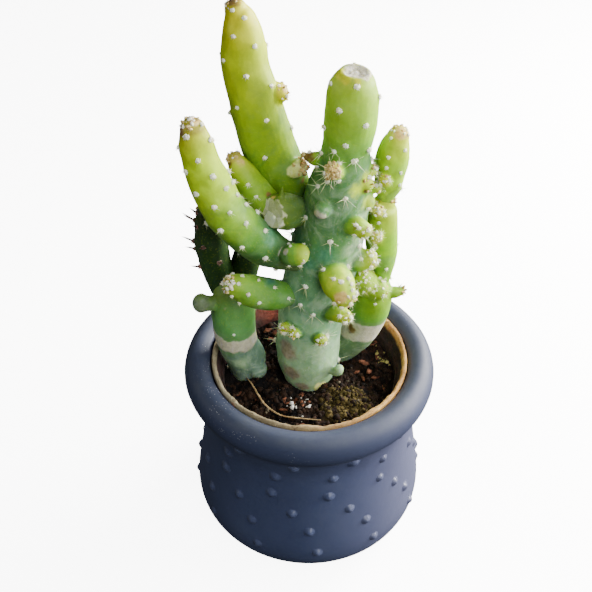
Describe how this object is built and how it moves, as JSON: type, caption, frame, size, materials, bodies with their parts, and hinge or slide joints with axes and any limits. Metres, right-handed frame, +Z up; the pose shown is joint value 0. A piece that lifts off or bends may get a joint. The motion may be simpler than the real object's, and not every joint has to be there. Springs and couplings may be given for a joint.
{
  "type": "potted eves needle cactus",
  "caption": "Jointed columnar cactus with long-leaning side stems, buds and fine spines, in a clay nursery pot that stands inside a glazed round cover pot with raised dots.",
  "frame": {"origin": "centre of the cover pot's flat foot, on the surface that it stands on", "axes": "+Z up along the pot's axis, -Y towards the side the picture was taken from, +X to its right"},
  "size_m": [0.1, 0.1, 0.2272],
  "materials": {
    "blue_glaze": "satin glaze",
    "clay": "matt, chipped brim",
    "potting_soil": "matt, crumbly",
    "bark_green": "waxy skin, half gloss",
    "young_green": "waxy skin, half gloss",
    "cut_green": "waxy skin, half gloss",
    "bud_green": "waxy skin, half gloss",
    "old_green": "waxy skin, half gloss",
    "shaded_green": "waxy skin, half gloss"
  },
  "bodies": {
    "root": {"cover_pot": "blue_glaze", "clay_pot": "clay", "soil": "potting_soil", "main_stem": "bark_green", "tall_stem": "young_green", "cut_stub": "cut_green", "left_stem": "young_green", "left_stem_bud": "bud_green", "short_stem": "young_green", "left_foot_stem": "old_green", "left_rear_stem": "shaded_green", "left_inner_stem": "shaded_green", "oval_joint": "bud_green", "right_foot_stem": "old_green", "right_middle_joint": "young_green", "right_top_joint": "young_green"}
  },
  "joints": []
}
